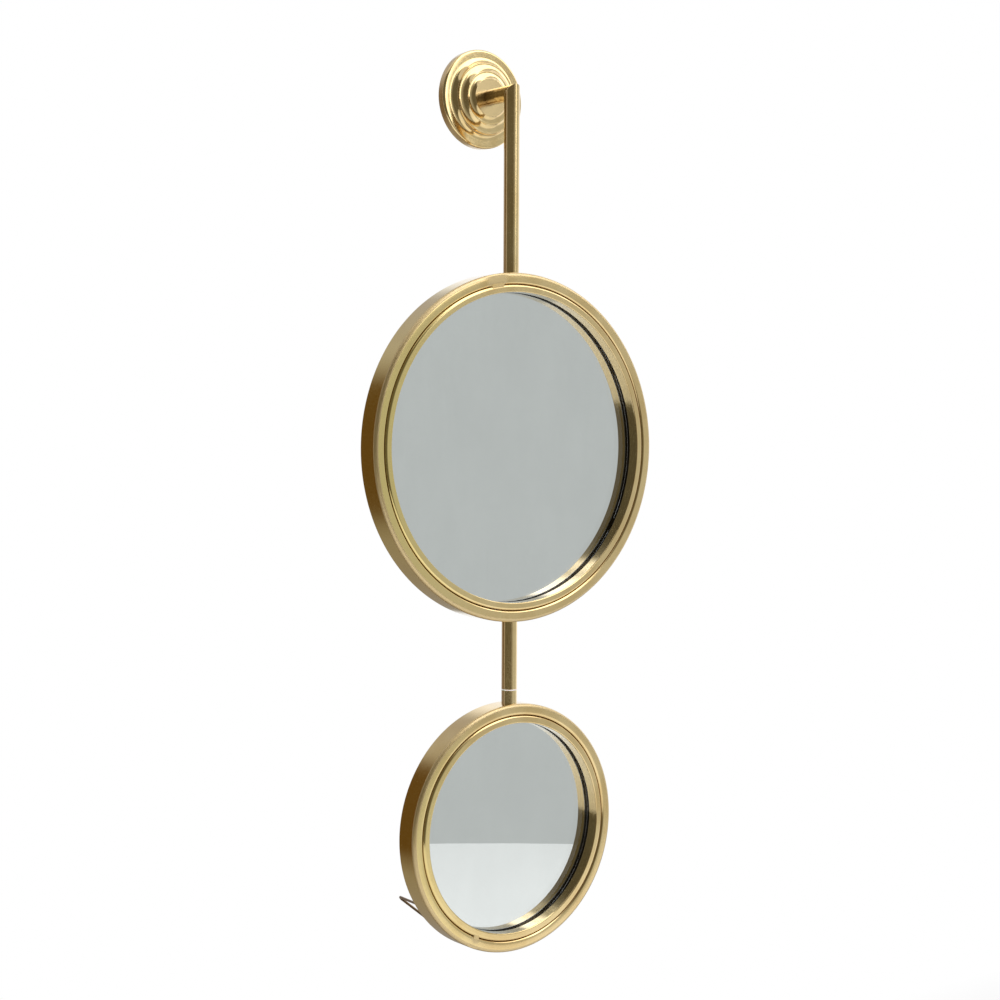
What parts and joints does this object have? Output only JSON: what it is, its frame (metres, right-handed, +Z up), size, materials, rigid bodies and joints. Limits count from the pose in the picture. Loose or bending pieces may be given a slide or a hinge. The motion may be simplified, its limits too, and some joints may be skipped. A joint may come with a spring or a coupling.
{
  "type": "wall-hung double round mirror",
  "caption": "Wall-hung brass mirror: a large and a small round framed mirror, one below the other on a drop tube from an arm in a stepped wall rosette; the small one swivels.",
  "frame": {"origin": "centre of the rosette's back on the wall", "axes": "+Z up, the wall is the plane y = 0 and the mirrors face -Y, +X to the right seen from the front"},
  "size_m": [0.2808, 0.0591, 0.7356],
  "materials": {
    "satin_brass": "satin, lightly brushed round the ring",
    "polished_brass": "polished",
    "turned_brass": "turned",
    "tab_brass": "plain sheet, dull",
    "wire_brass": "drawn wire, darkened",
    "braze": "filed flush",
    "plated_steel": "zinc plated",
    "white_nylon": "matt",
    "mirror_glass": "silvered float glass",
    "felt": "felt",
    "hardboard": "hardboard, textured back"
  },
  "bodies": {
    "wall_fixing": {"wall_plate": "plated_steel", "rosette": "polished_brass", "wall_spigot": "turned_brass", "spigot_screw": "plated_steel"},
    "hanger": {"arm_tube": "satin_brass", "upper_tube": "satin_brass", "arm_grub_screw": "plated_steel", "upper_tube_plug": "turned_brass", "lower_tube_plug": "turned_brass", "lower_tube": "satin_brass", "swivel_bush": "turned_brass", "large_outer_ring": "satin_brass", "large_inner_ring": "satin_brass", "large_seam_bridge": "braze", "large_mirror_glass": "mirror_glass", "large_backing_pad": "felt", "large_backing_board": "hardboard", "large_retaining_tabs": "tab_brass"},
    "small_mirror": {"swivel_screw": "plated_steel", "swivel_washer": "white_nylon", "small_stub": "satin_brass", "small_outer_ring": "satin_brass", "small_inner_ring": "satin_brass", "small_seam_bridge": "braze", "small_mirror_glass": "mirror_glass", "small_backing_pad": "felt", "small_backing_board": "hardboard", "small_retaining_tabs": "tab_brass", "wire_stop": "wire_brass"}
  },
  "joints": [
    {"name": "hanger_plumb", "type": "hinge", "parent": "wall_fixing", "child": "hanger", "pos_m": [0, -0.03, 0], "axis": [0, 1, 0], "range_deg": [-15, 15]},
    {"name": "small_mirror_swivel", "type": "hinge", "parent": "hanger", "child": "small_mirror", "pos_m": [0, -0.045, -0.4812], "axis": [0, 0, 1], "range_deg": [0, 20]}
  ]
}
